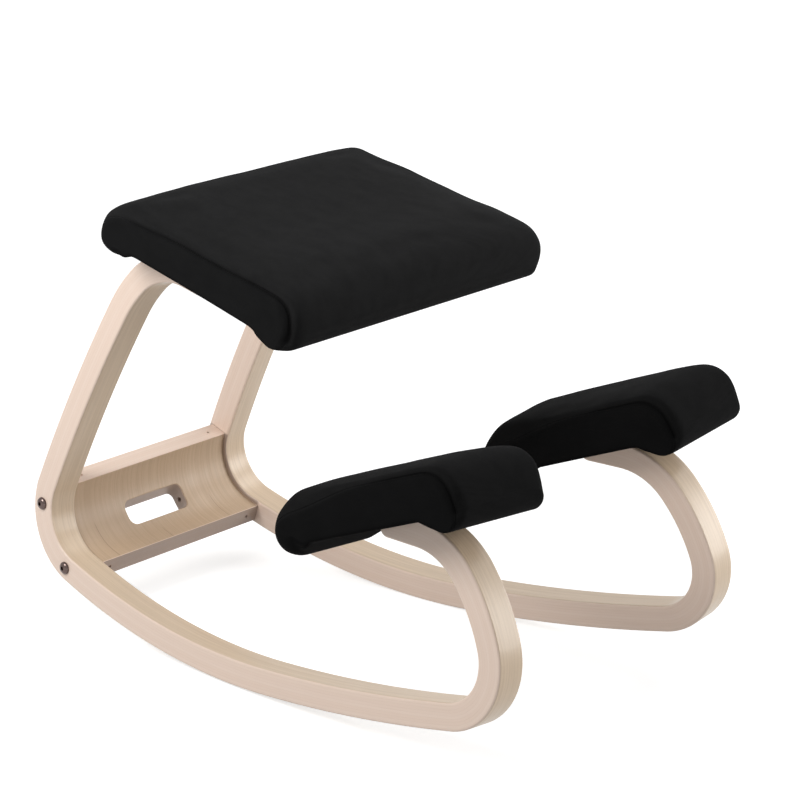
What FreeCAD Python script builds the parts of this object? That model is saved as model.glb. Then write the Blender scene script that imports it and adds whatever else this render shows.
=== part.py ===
import FreeCAD, Part
import math
import os
from FreeCAD import Vector

# Kneeling chair on two bent-laminated rocker runners. Sizes are in millimetres, angles in degrees.
# X runs across the chair, Y towards its back, Z up. The origin is on the floor at mid depth.

# Runner band, one lamination from the seat arm round the floor to the knee arm
band_width = 35.5
band_thickness = 30.0
band_edge_radius = 2.0
runner_spread = 373.0
runner_splay = 3.3
runner_lean = 3.5

# Runner outer line, from the seat arm's free end to the knee arm's free end
seat_arm_slope = 13.6
seat_arm_length = 136.0
shoulder_radius = 100.0
shoulder_turn = 57.5
upper_leg_radius = 200.0
upper_leg_turn = 15.0
rear_leg_radius = 1950.0
rear_leg_turn = 7.53
heel_radius = 84.0
heel_turn = 94.5
rear_rocker_radius = 825.0
rear_rocker_turn = 23.2
front_rocker_radius = 1900.0
front_rocker_turn = 8.3
toe_radius = 80.0
toe_turn = 96.5
front_leg_radius = 216.0
front_leg_turn = 22.0
knee_bend_radius = 101.0
knee_arm_length = 49.7

# Knee arm's planed landing, which thins the arm to its tip
knee_landing_slope = 21.6
knee_tip_thickness = 9.0
tip_corner_radius = 8.0

# Cross panel in the heel bend, with its handle slot
panel_thickness = 20.5
panel_inset = 4.5
panel_head_run = 0.6
panel_foot_run = 11.0
panel_edge_radius = 1.5
slot_length = 92.0
slot_height = 29.5
slot_corner_radius = 9.0
slot_dip = 46.0
slot_lift = 12.2
slot_bore_radius = 3.0
slot_bore_depth = 14.0

# Panel bolts, the threaded inserts that take them, and the inserts' locking holes
panel_bolt_radius = 4.0
panel_bolt_length = 58.0
panel_bolt_head_radius = 7.0
panel_bolt_head_height = 4.4
panel_bolt_head_setback = 25.6
panel_bolt_foot_setback = 16.7
insert_radius = 6.0
insert_length = 24.0
lock_hole_radius = 2.2
lock_hole_setback = 18.0

# Seat and knee pads: moulded board, foam, sewn cover and base cloth
board_thickness = 9.0
cover_thickness = 1.5
board_side_margin = 14.0
cloth_end_margin = 22.0
cloth_side_margin = 24.0

seat_width = 405.0
seat_widening = 11.0
seat_thickness = 47.0
seat_crown = 8.0
seat_edge_roll = 8.5
seat_flat_length = 210.0
seat_ahead_of_arm = 18.0
seat_front_reach = 46.4
seat_front_droop = 7.6
seat_front_lip = 18.5
seat_rear_reach = 38.9
seat_rear_droop = 8.6
seat_rear_lip = 19.5

knee_width = 132.0
knee_outward_shift = 4.4
knee_thickness = 50.5
knee_crown = 5.2
knee_edge_roll = 5.6
knee_flat_length = 164.0
knee_behind_tip = 52.5
knee_front_reach = 52.0
knee_front_droop = 15.3
knee_front_lip = 22.0
knee_rear_reach = 46.5
knee_rear_droop = 7.9
knee_rear_lip = 18.5

# Arm bolts, their washers and the tee nuts pressed into the boards
arm_bolt_radius = 3.0
arm_bolt_clearance = 0.4
arm_bolt_head_radius = 5.2
arm_bolt_head_height = 3.3
washer_radius = 6.0
washer_thickness = 1.6
pocket_clearance = 0.5
pocket_depth = 6.0
seat_arm_grip = band_thickness - pocket_depth
knee_arm_grip = 9.0
socket_width = 4.0
socket_depth = 2.4
tee_flange_radius = 10.0
tee_flange_thickness = 1.5
tee_barrel_radius = 4.2
tee_barrel_length = 8.0
seat_bolt_first = 34.0
seat_bolt_pitch = 70.0
knee_bolt_first = 13.0
knee_bolt_pitch = 24.0


def turned(degrees):
    """Unit vector in the XY plane at an angle from +X."""
    return Vector(math.cos(math.radians(degrees)), math.sin(math.radians(degrees)), 0)


def runner_stretches():
    """The runner's outer line as (radius, turn) bends and (None, length) straights."""
    bends = [
        (shoulder_radius, shoulder_turn),
        (upper_leg_radius, upper_leg_turn),
        (rear_leg_radius, rear_leg_turn),
        (heel_radius, heel_turn),
        (rear_rocker_radius, rear_rocker_turn),
        (front_rocker_radius, front_rocker_turn),
        (toe_radius, toe_turn),
        (front_leg_radius, front_leg_turn),
    ]
    knee_bend_turn = 360.0 + seat_arm_slope - sum(turn for radius, turn in bends)
    bends.append((knee_bend_radius, knee_bend_turn))
    return [(None, seat_arm_length)] + bends + [(None, knee_arm_length)]


def trace(stretches, inset):
    """Edges, stations and headings of the line, moved to its left by the inset.

    The plane's X axis is forward and its Y axis up."""
    heading = 180.0 - seat_arm_slope
    point = turned(heading + 90) * inset
    edges = []
    stations = [(point, heading)]
    for radius, amount in stretches:
        if radius is None:
            end = point + turned(heading) * amount
            edges.append(Part.LineSegment(point, end).toShape())
        else:
            centre = point + turned(heading + 90) * (radius - inset)
            spoke = radius - inset
            middle = centre + turned(heading - 90 + amount / 2) * spoke
            end = centre + turned(heading - 90 + amount) * spoke
            edges.append(Part.Arc(point, middle, end).toShape())
            heading += amount
        stations.append((end, heading))
        point = end
    return edges, stations


def side_frame():
    """Placement of the right runner's own plane: X forward, Y up, Z inwards from the outer face."""
    splay = math.radians(runner_splay)
    lean = math.radians(-runner_lean)
    forward = Vector(math.sin(splay), -math.cos(splay), 0)
    up = Vector(math.sin(lean) * math.cos(splay), math.sin(lean) * math.sin(splay), math.cos(lean))
    inward = forward.cross(up)
    turn = FreeCAD.Rotation(forward, up, inward, "ZXY")
    return FreeCAD.Placement(Vector(runner_spread / 2, 0, 0), turn)


def mirrored(shape):
    """The left-hand twin of a right-hand shape."""
    return shape.mirror(Vector(0, 0, 0), Vector(1, 0, 0))


def both(shape):
    return [shape, mirrored(shape)]


def rod(start, direction, length, radius):
    return Part.makeCylinder(radius, length, start, direction)


def placed_box(frame, low, high):
    """A box between two corners of a frame."""
    size = high - low
    box = Part.makeBox(size.x, size.y, size.z, low)
    box.Placement = frame.multiply(box.Placement)
    return box


# Runner line, centred in depth and standing on the plane's X axis
raw_edges, raw_stations = trace(runner_stretches(), 0)
raw_box = Part.Wire(raw_edges).optimalBoundingBox(False, False)
line_shift = Vector(-(raw_box.XMin + raw_box.XMax) / 2, -raw_box.YMin, 0)
outer_edges, outer_stations = trace(runner_stretches(), 0)
inner_edges, inner_stations = trace(runner_stretches(), band_thickness)
right_side = side_frame()

# Station numbers along the line
HEEL_START = 4
HEEL_END = 5
ARM_END = len(outer_stations) - 1


def on_side(point, depth):
    """World place of a point of the runner's line, at a depth in from the outer face."""
    return right_side.multVec(point + line_shift + Vector(0, 0, depth))


def heel_centre():
    start, heading = outer_stations[HEEL_START]
    return start + turned(heading + 90) * heel_radius


def seat_frame():
    """Placement of the seat's landing: X forward down the slope, Y up from it, Z to the left."""
    slope = math.radians(seat_arm_slope)
    forward = Vector(0, -math.cos(slope), -math.sin(slope))
    up = Vector(0, -math.sin(slope), math.cos(slope))
    arm_end = on_side(outer_stations[0][0], band_width)
    turn = FreeCAD.Rotation(forward, up, forward.cross(up), "ZXY")
    return FreeCAD.Placement(Vector(0, arm_end.y, arm_end.z), turn)


def knee_frame():
    """Placement of the right knee pad's landing: X forward up the slope, Y up from it, Z inwards."""
    tip = inner_stations[ARM_END][0] + Vector(0, knee_tip_thickness, 0)
    along = turned(knee_landing_slope)
    above = turned(knee_landing_slope + 90)
    turn = FreeCAD.Rotation(along, above, Vector(0, 0, 1), "ZXY")
    local = FreeCAD.Placement(tip + line_shift + Vector(0, 0, band_width / 2 - knee_outward_shift), turn)
    return right_side.multiply(local)


seat_place = seat_frame()
knee_place = knee_frame()


class Cushion:
    """A moulded pad on a flat landing, rolled down in front of it and behind it."""

    def __init__(self, width, widening, thickness, crown, edge_roll, flat_back, flat_front, front, rear):
        self.half_width = width / 2
        self.widening = widening
        self.thickness = thickness
        self.crown = crown
        self.edge_roll = edge_roll
        self.flat_back = flat_back
        self.flat_front = flat_front
        self.front = front
        self.rear = rear

    def nose(self, roll, base, side, inset, under, top):
        """Arcs of one rolled end from the flat underside up to the top line."""
        reach, droop, lip = roll
        tip = base + side * (reach - inset)
        lip_radius = lip - inset
        bottom = under - droop
        centre = Vector(tip - side * lip_radius, bottom + lip_radius, 0)
        corner = Vector(base, under, 0)
        span = corner - centre
        turn = math.acos(lip_radius / span.Length)
        towards = math.degrees(math.atan2(span.y, span.x)) + side * math.degrees(turn)
        touch = centre + turned(towards) * lip_radius
        halfway = (touch - centre) + (Vector(tip, centre.y, 0) - centre)
        lip_middle = centre + halfway.normalize() * lip_radius
        shoulder = top - centre.y
        high_centre = Vector(tip - side * shoulder, centre.y, 0)
        high_middle = high_centre + Vector(side, 1, 0).normalize() * shoulder
        tip_point = Vector(tip, centre.y, 0)
        top_point = Vector(high_centre.x, top, 0)
        edges = [
            Part.LineSegment(corner, touch).toShape(),
            Part.Arc(touch, lip_middle, tip_point).toShape(),
            Part.Arc(tip_point, high_middle, top_point).toShape(),
        ]
        return edges, top_point

    def outline(self, inset, under, crown):
        """Closed side outline: drawn in by the inset, raised by under at the flat."""
        top = self.thickness - inset + crown
        front_edges, front_top = self.nose(self.front, self.flat_front, 1, inset, under, top)
        rear_edges, rear_top = self.nose(self.rear, self.flat_back, -1, inset, under, top)
        flat = Part.LineSegment(Vector(self.flat_back, under, 0), Vector(self.flat_front, under, 0))
        lid = Part.LineSegment(front_top, rear_top)
        edges = [flat.toShape()] + front_edges + [lid.toShape()] + rear_edges[::-1]
        return Part.Wire(Part.__sortEdges__(edges))

    def section(self, place, inset, skin):
        """The side outline at a place across the width, drawn in by the inset and the skin."""
        share = place / self.half_width
        crown = self.crown * (1 - share * share)
        wire = self.outline(inset + skin, inset + skin, crown)
        spread = math.degrees(math.atan2(self.widening / 2 * share, self.flat_front - self.flat_back))
        wire.rotate(Vector((self.flat_front + self.flat_back) / 2, 0, 0), Vector(0, 1, 0), -spread)
        wire.translate(Vector(0, 0, place))
        return wire

    def body(self, skin):
        """Closed solid of the pad, inside its surface by the skin, with a crowned top and rolled sides."""
        roll = self.edge_roll - skin
        seam = self.half_width - self.edge_roll
        crowned = [(seam * share, 0) for share in (0, 0.35, 0.7)]
        rolled = []
        for angle in (0, 25, 50, 70, 90):
            turn = math.radians(angle)
            rolled.append((seam + roll * math.sin(turn), roll * (1 - math.cos(turn))))
        half = crowned + rolled
        spots = [(-place, inset) for place, inset in half[:0:-1]] + half
        return Part.makeLoft([self.section(place, inset, skin) for place, inset in spots], True, True)

    def board_blank(self):
        """Prism of the moulded board, following the underside and bent down at both ends."""
        thick = cover_thickness + board_thickness
        corners = []
        for roll, base, side in ((self.rear, self.flat_back, -1), (self.front, self.flat_front, 1)):
            reach, droop, lip = roll
            low = Vector(base + side * (reach - lip), -droop, 0)
            corners.append((Vector(base, 0, 0), low))
        (back, back_low), (front, front_low) = corners
        lift = Vector(0, thick, 0)
        drop = Vector(0, -thick, 0)
        points = [back_low + lift, back + lift, front + lift, front_low + lift,
                  front_low + drop, back_low + drop, back_low + lift]
        face = Part.Face(Part.makePolygon(points))
        half = self.half_width - board_side_margin
        face.translate(Vector(0, 0, -half))
        return face.extrude(Vector(0, 0, 2 * half))

    def cloth_blank(self):
        """Prism of the cloth that closes the cover's underside."""
        half = self.half_width - cloth_side_margin
        low = Vector(self.flat_back + cloth_end_margin, -cover_thickness, -half)
        high = Vector(self.flat_front - cloth_end_margin, cover_thickness, half)
        size = high - low
        return Part.makeBox(size.x, size.y, size.z, low)

    def pieces(self, frame, bolt_spots):
        """The pad's pieces in its frame, holed for the bolts and tee nuts at the given spots."""
        outer = self.body(0)
        inner = self.body(cover_thickness)
        skin = outer.cut(inner)
        cloth = skin.common(self.cloth_blank())
        cover = skin.cut(self.cloth_blank())
        board = inner.common(self.board_blank())
        foam = inner.cut(board)
        up = Vector(0, 1, 0)
        board_top = cover_thickness + board_thickness
        bore = arm_bolt_radius + arm_bolt_clearance
        nuts = []
        for spot in bolt_spots:
            cloth = cloth.cut(rod(spot, up, cover_thickness, bore))
            flange = rod(spot + up * board_top, up, tee_flange_thickness, tee_flange_radius)
            barrel = rod(spot + up * board_top, -up, tee_barrel_length, tee_barrel_radius)
            nut = flange.fuse(barrel)
            tip_recess = rod(spot, up, board_top + tee_flange_thickness, arm_bolt_radius)
            board = board.cut(nut).cut(rod(spot, up, board_top, bore))
            foam = foam.cut(nut).cut(tip_recess)
            nuts.append(nut.cut(tip_recess).removeSplitter())
        found = {"cover": cover, "base_cloth": cloth, "shell": board, "foam": foam, "t_nuts": nuts}
        for name, shape in found.items():
            for piece in shape if name == "t_nuts" else [shape]:
                piece.Placement = frame.multiply(piece.Placement)
        return found


seat = Cushion(seat_width, seat_widening, seat_thickness, seat_crown, seat_edge_roll,
               seat_ahead_of_arm - seat_flat_length, seat_ahead_of_arm,
               (seat_front_reach, seat_front_droop, seat_front_lip),
               (seat_rear_reach, seat_rear_droop, seat_rear_lip))
knee = Cushion(knee_width, 0.0, knee_thickness, knee_crown, knee_edge_roll,
               -knee_behind_tip, knee_flat_length - knee_behind_tip,
               (knee_front_reach, knee_front_droop, knee_front_lip),
               (knee_rear_reach, knee_rear_droop, knee_rear_lip))


def button_screw(head_radius, head_height, shank_radius, shank_length):
    """Domed socket screw along +Z, with the head's seat at the origin and the head below it."""
    rim = head_height * 0.25
    crown_radius = head_radius * 0.4
    bulge = Vector(head_radius * 0.82, 0, -head_height * 0.72)
    low = Vector(crown_radius, 0, -head_height)
    side = Vector(head_radius, 0, -rim)
    profile = Part.Wire([
        Part.LineSegment(Vector(0, 0, 0), Vector(head_radius, 0, 0)).toShape(),
        Part.LineSegment(Vector(head_radius, 0, 0), side).toShape(),
        Part.Arc(side, bulge, low).toShape(),
        Part.LineSegment(low, Vector(0, 0, -head_height)).toShape(),
        Part.LineSegment(Vector(0, 0, -head_height), Vector(0, 0, 0)).toShape(),
    ])
    head = Part.Face(profile).revolve(Vector(0, 0, 0), Vector(0, 0, 1), 360)
    corners = [turned(60 * step) * socket_width / math.sqrt(3) for step in range(7)]
    socket = Part.Face(Part.makePolygon(corners)).extrude(Vector(0, 0, socket_depth))
    socket.translate(Vector(0, 0, -head_height))
    shank = Part.makeCylinder(shank_radius, shank_length)
    return head.cut(socket).fuse(shank).removeSplitter()


def washer(centre, direction):
    ring = rod(centre, direction, washer_thickness, washer_radius)
    return ring.cut(rod(centre, direction, washer_thickness, arm_bolt_radius + arm_bolt_clearance))


def aimed(shape, place, direction):
    """A shape that was made along +Z, moved to a place and turned along a direction."""
    turn = FreeCAD.Rotation(Vector(0, 0, 1), direction)
    shape.Placement = FreeCAD.Placement(place, turn).multiply(shape.Placement)
    return shape


def in_frame(shape, frame):
    shape.Placement = frame.multiply(shape.Placement)
    return shape


def band():
    """The plain runner band in its own plane, with rounded edges and arm ends."""
    start_cap = Part.LineSegment(inner_stations[0][0], outer_stations[0][0]).toShape()
    end_cap = Part.LineSegment(outer_stations[ARM_END][0], inner_stations[ARM_END][0]).toShape()
    loop = Part.Wire(Part.__sortEdges__(outer_edges + [end_cap] + inner_edges[::-1] + [start_cap]))
    solid = Part.Face(loop).extrude(Vector(0, 0, band_width))
    ends = [inner_stations[0][0], inner_stations[ARM_END][0]]
    corners = [edge for edge in solid.Edges
               if edge.Length < band_width + 0.01
               and any((edge.CenterOfMass - end - Vector(0, 0, band_width / 2)).Length < 0.01 for end in ends)]
    solid = solid.makeFillet(tip_corner_radius, corners)
    rims = [edge for edge in solid.Edges
            if abs(edge.Vertexes[0].Z - edge.Vertexes[-1].Z) < 0.01]
    solid = solid.makeFillet(band_edge_radius, rims)
    solid.translate(line_shift)
    return solid


def panel_bolt_spots():
    """Where the two panel bolts cross the runner's line plane, on the panel's middle surface."""
    middle = heel_radius - panel_inset - panel_thickness / 2
    head_arc = math.degrees((panel_bolt_head_setback - panel_head_run) / middle)
    foot_arc = math.degrees((panel_bolt_foot_setback - panel_foot_run) / middle)
    first = outer_stations[HEEL_START][1] - 90 + head_arc
    last = outer_stations[HEEL_END][1] - 90 - foot_arc
    return [heel_centre() + turned(angle) * middle for angle in (first, last)]


def panel_edge_middles():
    """Middles of the panel's head edge and foot edge, in the runner's line plane."""
    middle = heel_radius - panel_inset - panel_thickness / 2
    start_heading = outer_stations[HEEL_START][1]
    end_heading = outer_stations[HEEL_END][1]
    head = heel_centre() + turned(start_heading - 90) * middle - turned(start_heading) * panel_head_run
    foot = heel_centre() + turned(end_heading - 90) * middle + turned(end_heading) * panel_foot_run
    return [head, foot]


def seat_bolt_spots():
    """Bolt places on both arms, in the seat's frame."""
    start, heading = outer_stations[0]
    spots = []
    for step in range(2):
        back = seat_bolt_first + step * seat_bolt_pitch
        world = on_side(start + turned(heading) * back, band_width / 2)
        local = seat_place.inverse().multVec(world)
        for side in (1, -1):
            spots.append(Vector(local.x, 0, side * local.z))
    return spots


def knee_bolt_spots():
    """Bolt places on the knee landing, on the band's middle, in the knee pad's frame."""
    return [Vector(knee_bolt_first + step * knee_bolt_pitch, 0, knee_outward_shift) for step in range(2)]


def arm_fixings(spots, frame, grip):
    """Bolts, washers and the cuts they need in an arm, for a landing's frame."""
    up = Vector(0, 1, 0)
    length = grip + washer_thickness + cover_thickness + board_thickness + tee_flange_thickness
    bolts = []
    washers = []
    cuts = []
    for spot in spots:
        floor = spot - up * grip
        seat_point = floor - up * washer_thickness
        screw = button_screw(arm_bolt_head_radius, arm_bolt_head_height, arm_bolt_radius, length)
        bolts.append(in_frame(aimed(screw, seat_point, up), frame))
        washers.append(in_frame(washer(seat_point, up), frame))
        hole = rod(floor, up, 2 * grip, arm_bolt_radius + arm_bolt_clearance)
        pocket = rod(floor, -up, 2 * band_thickness, washer_radius + pocket_clearance)
        cuts.append(in_frame(hole.fuse(pocket), frame))
    return bolts, washers, cuts


def runner(cuts):
    """The right runner: band with planed landings, bolt holes and washer pockets."""
    solid = in_frame(band(), right_side)
    seat_waste = placed_box(seat_place, Vector(-2 * seat_arm_length, 0, -runner_spread),
                            Vector(seat_arm_length, band_thickness, 0))
    knee_waste = placed_box(knee_place, Vector(-band_thickness, 0, -2 * band_width),
                            Vector(3 * band_thickness, 2 * band_thickness, 2 * band_width))
    solid = solid.cut(seat_waste).cut(knee_waste)
    for cut in cuts:
        solid = solid.cut(cut)
    return solid


def cross_panel(cuts):
    """The bent panel between the runners' heels, with its handle slot."""
    centre = on_side(heel_centre(), band_width)
    plane = FreeCAD.Placement(
        Vector(0, centre.y, centre.z),
        FreeCAD.Rotation(Vector(0, -1, 0), Vector(0, 0, 1), Vector(-1, 0, 0), "ZXY"))
    start = outer_stations[HEEL_START][1] - 90
    end = outer_stations[HEEL_END][1] - 90
    back = heel_radius - panel_inset
    front = back - panel_thickness

    def arc(radius):
        points = [turned(angle) * radius for angle in (start, (start + end) / 2, end)]
        head = points[0] - turned(start + 90) * panel_head_run
        foot = points[2] + turned(end + 90) * panel_foot_run
        return [Part.LineSegment(head, points[0]).toShape(), Part.Arc(*points).toShape(),
                Part.LineSegment(points[2], foot).toShape()], head, foot

    back_edges, back_head, back_foot = arc(back)
    front_edges, front_head, front_foot = arc(front)
    caps = [Part.LineSegment(back_head, front_head).toShape(), Part.LineSegment(back_foot, front_foot).toShape()]
    face = Part.Face(Part.Wire(Part.__sortEdges__(back_edges + front_edges + caps)))
    face.translate(Vector(0, 0, -runner_spread / 2))
    solid = face.extrude(Vector(0, 0, runner_spread))
    long_edges = [edge for edge in solid.Edges if edge.Length > runner_spread - 0.01
                  and any(abs((edge.Vertexes[0].Point - corner).x) + abs((edge.Vertexes[0].Point - corner).y) < 0.01
                          for corner in (back_head, back_foot, front_head, front_foot))]
    solid = solid.makeFillet(panel_edge_radius, long_edges)

    # Handle slot, cut along a line that dips to the rear
    along = turned(180 + slot_dip)
    above = turned(90 + slot_dip)
    slot_turn = FreeCAD.Rotation(Vector(0, 0, 1), above, along, "ZXY")
    slot_frame = FreeCAD.Placement(above * slot_lift, slot_turn)
    low = Vector(-slot_length / 2, -slot_height / 2, 0)
    slot = Part.makeBox(slot_length, slot_height, heel_radius + band_thickness, low)
    uprights = [edge for edge in slot.Edges if abs(edge.Vertexes[0].Z - edge.Vertexes[-1].Z) > 1]
    slot = in_frame(slot.makeFillet(slot_corner_radius, uprights), slot_frame)
    solid = solid.cut(slot)
    deep = math.sqrt((back - panel_thickness / 2) ** 2 - slot_lift ** 2)
    bore = rod(Vector(-slot_length / 2 + 1, 0, deep), Vector(-1, 0, 0), slot_bore_depth + 1, slot_bore_radius)
    solid = solid.cut(in_frame(bore, slot_frame))
    solid = in_frame(solid, plane)

    # Ends trimmed to the runners' inner faces
    reach = 2 * runner_spread
    right_waste = placed_box(right_side, Vector(-reach, -reach, -reach), Vector(reach, reach, band_width))
    for waste in both(right_waste) + cuts:
        solid = solid.cut(waste)
    return solid


def panel_fixings():
    """Panel bolts and inserts of the right side, with the cuts they need."""
    inward = Vector(0, 0, 1)
    bolts = []
    inserts = []
    runner_cuts = []
    panel_cuts = []
    for spot, edge in zip(panel_bolt_spots(), panel_edge_middles()):
        outside = spot + line_shift
        inside = outside + inward * band_width
        screw = button_screw(panel_bolt_head_radius, panel_bolt_head_height, panel_bolt_radius, panel_bolt_length)
        bolts.append(in_frame(aimed(screw, outside, inward), right_side))
        sleeve = rod(inside, inward, insert_length, insert_radius)
        inserts.append(in_frame(sleeve.cut(rod(inside, inward, insert_length, panel_bolt_radius)), right_side))
        through = rod(outside, inward, band_width, panel_bolt_radius + arm_bolt_clearance)
        runner_cuts.append(in_frame(through, right_side))
        seat_hole = rod(inside - inward * band_width, inward, band_width + insert_length, insert_radius)
        panel_cuts.append(in_frame(seat_hole, right_side))
        deep = inward * (band_width + lock_hole_setback)
        aim = spot - edge
        mouth = edge + line_shift + deep - aim
        reach = 2 * aim.Length - insert_radius
        lock_hole = rod(mouth, aim, reach, lock_hole_radius)
        panel_cuts.append(in_frame(lock_hole, right_side))
    return bolts, inserts, runner_cuts, panel_cuts


def main():
    seat_bolts, seat_washers, seat_cuts = arm_fixings(seat_bolt_spots(), seat_place, seat_arm_grip)
    knee_bolts, knee_washers, knee_cuts = arm_fixings(knee_bolt_spots(), knee_place, knee_arm_grip)
    panel_bolts, inserts, runner_cuts, panel_cuts = panel_fixings()
    right_runner = runner(seat_cuts + knee_cuts + runner_cuts)
    all_panel_cuts = [twin for cut in panel_cuts for twin in both(cut)]

    nodes = {
        "runner_right": [right_runner],
        "runner_left": [mirrored(right_runner)],
        "cross_panel": [cross_panel(all_panel_cuts)],
        "panel_bolts": [twin for bolt in panel_bolts for twin in both(bolt)],
        "panel_inserts": [twin for insert in inserts for twin in both(insert)],
        "seat_bolts": seat_bolts,
        "seat_washers": seat_washers,
        "knee_bolts": [twin for bolt in knee_bolts for twin in both(bolt)],
        "knee_washers": [twin for ring in knee_washers for twin in both(ring)],
    }
    seat_pieces = seat.pieces(seat_place, seat_bolt_spots())
    knee_pieces = knee.pieces(knee_place, knee_bolt_spots())
    for name in ("cover", "base_cloth", "shell", "foam"):
        nodes["seat_" + name] = [seat_pieces[name]]
        nodes["knee_" + name + "_right"] = [knee_pieces[name]]
        nodes["knee_" + name + "_left"] = [mirrored(knee_pieces[name])]
    nodes["seat_t_nuts"] = seat_pieces["t_nuts"]
    nodes["knee_t_nuts"] = [twin for nut in knee_pieces["t_nuts"] for twin in both(nut)]

    # The runners' lowest edge is set on the floor, and their depth is centred on the origin
    stance = right_runner.optimalBoundingBox(False, False)
    shift = Vector(0, -(stance.YMin + stance.YMax) / 2, -stance.ZMin)
    os.makedirs("parts", exist_ok=True)
    for name, shapes in nodes.items():
        solids = [solid for shape in shapes for solid in shape.Solids]
        for solid in solids:
            solid.translate(shift)
        whole = solids[0] if len(solids) == 1 else Part.makeCompound(solids)
        whole.exportStep("parts/" + name + ".step")
        print(name, len(solids), "solid(s)", round(whole.Volume / 1000, 1), "cm3", whole.isValid())


main()
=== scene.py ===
import math
from collections import namedtuple
from dataclasses import dataclass

import bmesh
import bpy
import numpy as np
from mathutils import Matrix, Vector, kdtree, noise


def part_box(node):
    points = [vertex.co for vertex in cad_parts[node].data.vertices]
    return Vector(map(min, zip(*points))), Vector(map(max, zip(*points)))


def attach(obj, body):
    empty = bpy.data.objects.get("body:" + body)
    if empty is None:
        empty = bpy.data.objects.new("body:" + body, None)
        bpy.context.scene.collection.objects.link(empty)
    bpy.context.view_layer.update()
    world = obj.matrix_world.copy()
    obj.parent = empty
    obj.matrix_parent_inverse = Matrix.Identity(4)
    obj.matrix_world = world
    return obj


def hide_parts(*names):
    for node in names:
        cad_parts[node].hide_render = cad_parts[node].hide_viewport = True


# Kneeling chair on bent-laminated rocker runners. Sizes are in metres, angles in degrees.
# X runs across the chair, Y towards its back, Z up.

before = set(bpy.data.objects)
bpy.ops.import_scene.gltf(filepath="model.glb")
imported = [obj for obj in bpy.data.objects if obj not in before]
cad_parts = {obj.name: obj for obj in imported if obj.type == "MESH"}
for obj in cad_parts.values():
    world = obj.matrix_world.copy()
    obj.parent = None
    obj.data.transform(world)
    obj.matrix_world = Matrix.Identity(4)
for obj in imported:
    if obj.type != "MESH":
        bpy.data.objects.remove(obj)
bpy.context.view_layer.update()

# Camera, from the photograph's view
CAMERA_PLACE = (-2.3783, -2.1082, 1.2820)
CAMERA_AZIMUTH = 49.21
CAMERA_ELEVATION = 17.39
CAMERA_LENS = 137.14
WORLD_LEVEL = 0.34

# Runner band
BAND_WIDTH = 0.0355
BAND_THICKNESS = 0.030
BAND_EDGE = 0.0026
RUNNER_SPREAD = 0.373
RUNNER_SPLAY = 3.3
RUNNER_LEAN = 3.5
SEAT_ARM_SLOPE = 13.6
SEAT_ARM_LENGTH = 0.136
SEAT_ARM_TAPER = 0.0045
KNEE_ARM_LENGTH = 0.0497
# The runner line's bends as (radius, turn), from the shoulder under the seat round the heel and the toe
RUNNER_BENDS = [
    (0.100, 57.5),
    (0.200, 15.0),
    (1.950, 7.53),
    (0.084, 94.5),
    (0.825, 23.2),
    (1.900, 8.3),
    (0.080, 96.5),
    (0.216, 22.0),
]
KNEE_BEND_RADIUS = 0.101
HEEL = 3
KNEE_LANDING_SLOPE = 21.6
KNEE_TIP_THICKNESS = 0.009
TIP_CORNER = 0.008
STATION_STEP = 0.0045
TIGHT_BEND = 0.15
TIGHT_STEP = STATION_STEP * 0.6
END_REACH = 0.012
END_STATIONS = (0, 0.00015, 0.0005, 0.001, 0.0016, 0.0024, 0.0034, 0.0048, 0.0064, 0.008, 0.010)
LINE_STEPS = 6000
SETTLE_STEPS = 4000
GRAIN_STEPS = 2400

# Cross panel and its handle slot
PANEL_THICKNESS = 0.0205
PANEL_INSET = 0.0045
PANEL_FOOT_RUN = 0.0125
PANEL_EDGE = 0.0017
SLOT_LENGTH = 0.092
SLOT_HEIGHT = 0.0295
SLOT_CORNER = 0.009
SLOT_EDGE = 0.0012
SLOT_DIP = 46.0
SLOT_LIFT = 0.0122
LOCK_HOLE = 0.0018
LOCK_HOLE_SETBACK = 0.018
SLOT_BORE = 0.0028

# Panel bolts
BOLT_HEAD = 0.0072
BOLT_HEAD_HEIGHT = 0.0046
BOLT_SHANK = 0.004
BOLT_LENGTH = 0.058
BOLT_SOCKET = 0.0042
BOLT_HEAD_SETBACK = 0.025
BOLT_FOOT_SETBACK = 0.0057


def turned(degrees):
    """Unit vector in the runner's plane at an angle from forward."""
    return Vector((math.cos(math.radians(degrees)), math.sin(math.radians(degrees)), 0))


def clamp(value, low=0.0, high=1.0):
    return max(low, min(high, value))


# Runner line


def runner_stretches():
    turn_left = 360 + SEAT_ARM_SLOPE - sum(turn for radius, turn in RUNNER_BENDS)
    bends = RUNNER_BENDS + [(KNEE_BEND_RADIUS, turn_left)]
    return [(None, SEAT_ARM_LENGTH)] + bends + [(None, KNEE_ARM_LENGTH)]


Stretch = namedtuple("Stretch", "start length radius point heading")


def walk(radius, point, heading, distance):
    """Point and heading after a distance along a bend, or along a straight, which has no radius."""
    if radius is None:
        return point + turned(heading) * distance, heading
    centre = point + turned(heading + 90) * radius
    after = heading + math.degrees(distance / radius)
    return centre + turned(after - 90) * radius, after


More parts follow.
